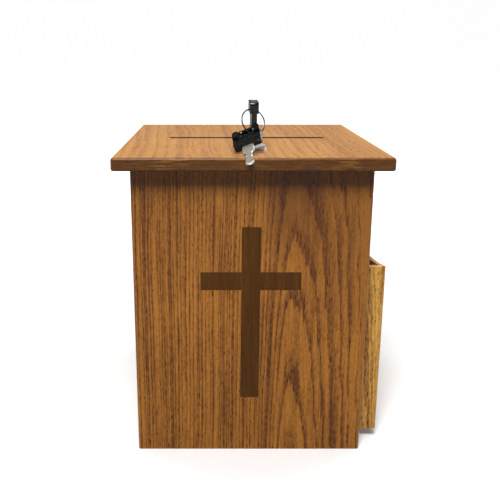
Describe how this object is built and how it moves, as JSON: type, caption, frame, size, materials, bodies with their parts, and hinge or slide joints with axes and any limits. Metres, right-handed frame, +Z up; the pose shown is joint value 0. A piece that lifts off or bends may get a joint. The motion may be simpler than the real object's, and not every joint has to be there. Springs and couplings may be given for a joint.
{
  "type": "donation box",
  "caption": "Wooden donation box with a hinged, locking, slotted lid, a cross let into the front and a side leaflet pocket; key in the lock, spare on a ring.",
  "frame": {"origin": "middle of the underside of the box, without the leaflet pocket", "axes": "+X to the right as one faces the front, +Y to the back, +Z up; the cross is on the -Y side"},
  "size_m": [0.251, 0.2622, 0.3358],
  "materials": {
    "oak_front": "stained oak, satin lacquer, strong upright grain",
    "oak_walls": "stained oak, satin lacquer",
    "oak_pocket": "stained oak, lighter, satin lacquer",
    "oak_lid": "stained oak, satin lacquer, grain front to back",
    "dark_inlay": "dark stained wood, flush and matt",
    "dowel_birch": "plain birch",
    "brass_plate": "brass-plated steel",
    "zinc_steel": "zinc-plated steel",
    "lock_chrome": "polished chrome plate",
    "key_nickel": "nickel-plated brass",
    "key_plastic": "glossy black moulding",
    "ring_steel": "hardened steel wire, plated"
  },
  "bodies": {
    "box": {"front_panel": "oak_front", "back_panel": "oak_walls", "left_panel": "oak_walls", "right_panel": "oak_walls", "bottom_panel": "oak_walls", "cross_inlay": "dark_inlay", "corner_dowels": "dowel_birch", "bottom_dowels": "dowel_birch", "pocket_outer_panel": "oak_pocket", "pocket_front_end": "oak_pocket", "pocket_rear_end": "oak_pocket", "pocket_floor": "oak_pocket", "pocket_screws": "zinc_steel", "hinge_left_pin": "brass_plate", "hinge_right_pin": "brass_plate", "hinge_left_box_leaf": "brass_plate", "hinge_right_box_leaf": "brass_plate", "hinge_box_screws": "brass_plate", "strike_plate": "zinc_steel", "strike_screws": "zinc_steel"},
    "lid": {"lid_board": "oak_lid", "hinge_left_lid_leaf": "brass_plate", "hinge_right_lid_leaf": "brass_plate", "hinge_lid_screws": "brass_plate", "lock_housing": "lock_chrome", "lock_nut": "zinc_steel"},
    "lock_core": {"lock_plug": "lock_chrome", "lock_cam": "zinc_steel", "cam_washer": "zinc_steel", "cam_screw": "zinc_steel", "key_blade": "key_nickel", "key_head": "key_plastic"},
    "key_ring": {"key_ring": "ring_steel"},
    "spare_key": {"spare_key_blade": "key_nickel", "spare_key_head": "key_plastic"}
  },
  "joints": [
    {"name": "lid_hinge", "type": "hinge", "parent": "box", "child": "lid", "pos_m": [0, 0.1178, 0.28], "axis": [-1, 0, 0], "range_deg": [0, 195]},
    {"name": "key_turn", "type": "hinge", "parent": "lid", "child": "lock_core", "pos_m": [0.0025, -0.074, 0.29], "axis": [0, 0, -1], "range_deg": [0, 90]},
    {"name": "ring_swing", "type": "hinge", "parent": "lock_core", "child": "key_ring", "pos_m": [0.0025, -0.0775, 0.328], "axis": [-1, 0, 0], "range_deg": [0, 60]},
    {"name": "spare_swing", "type": "hinge", "parent": "key_ring", "child": "spare_key", "pos_m": [-0.003, -0.0888, 0.3101], "axis": [-1, 0, 0], "range_deg": [0, 15]}
  ],
  "couplings": [
    {"joint": "spare_swing", "follows": "key_turn", "ratio": 0.165}
  ]
}
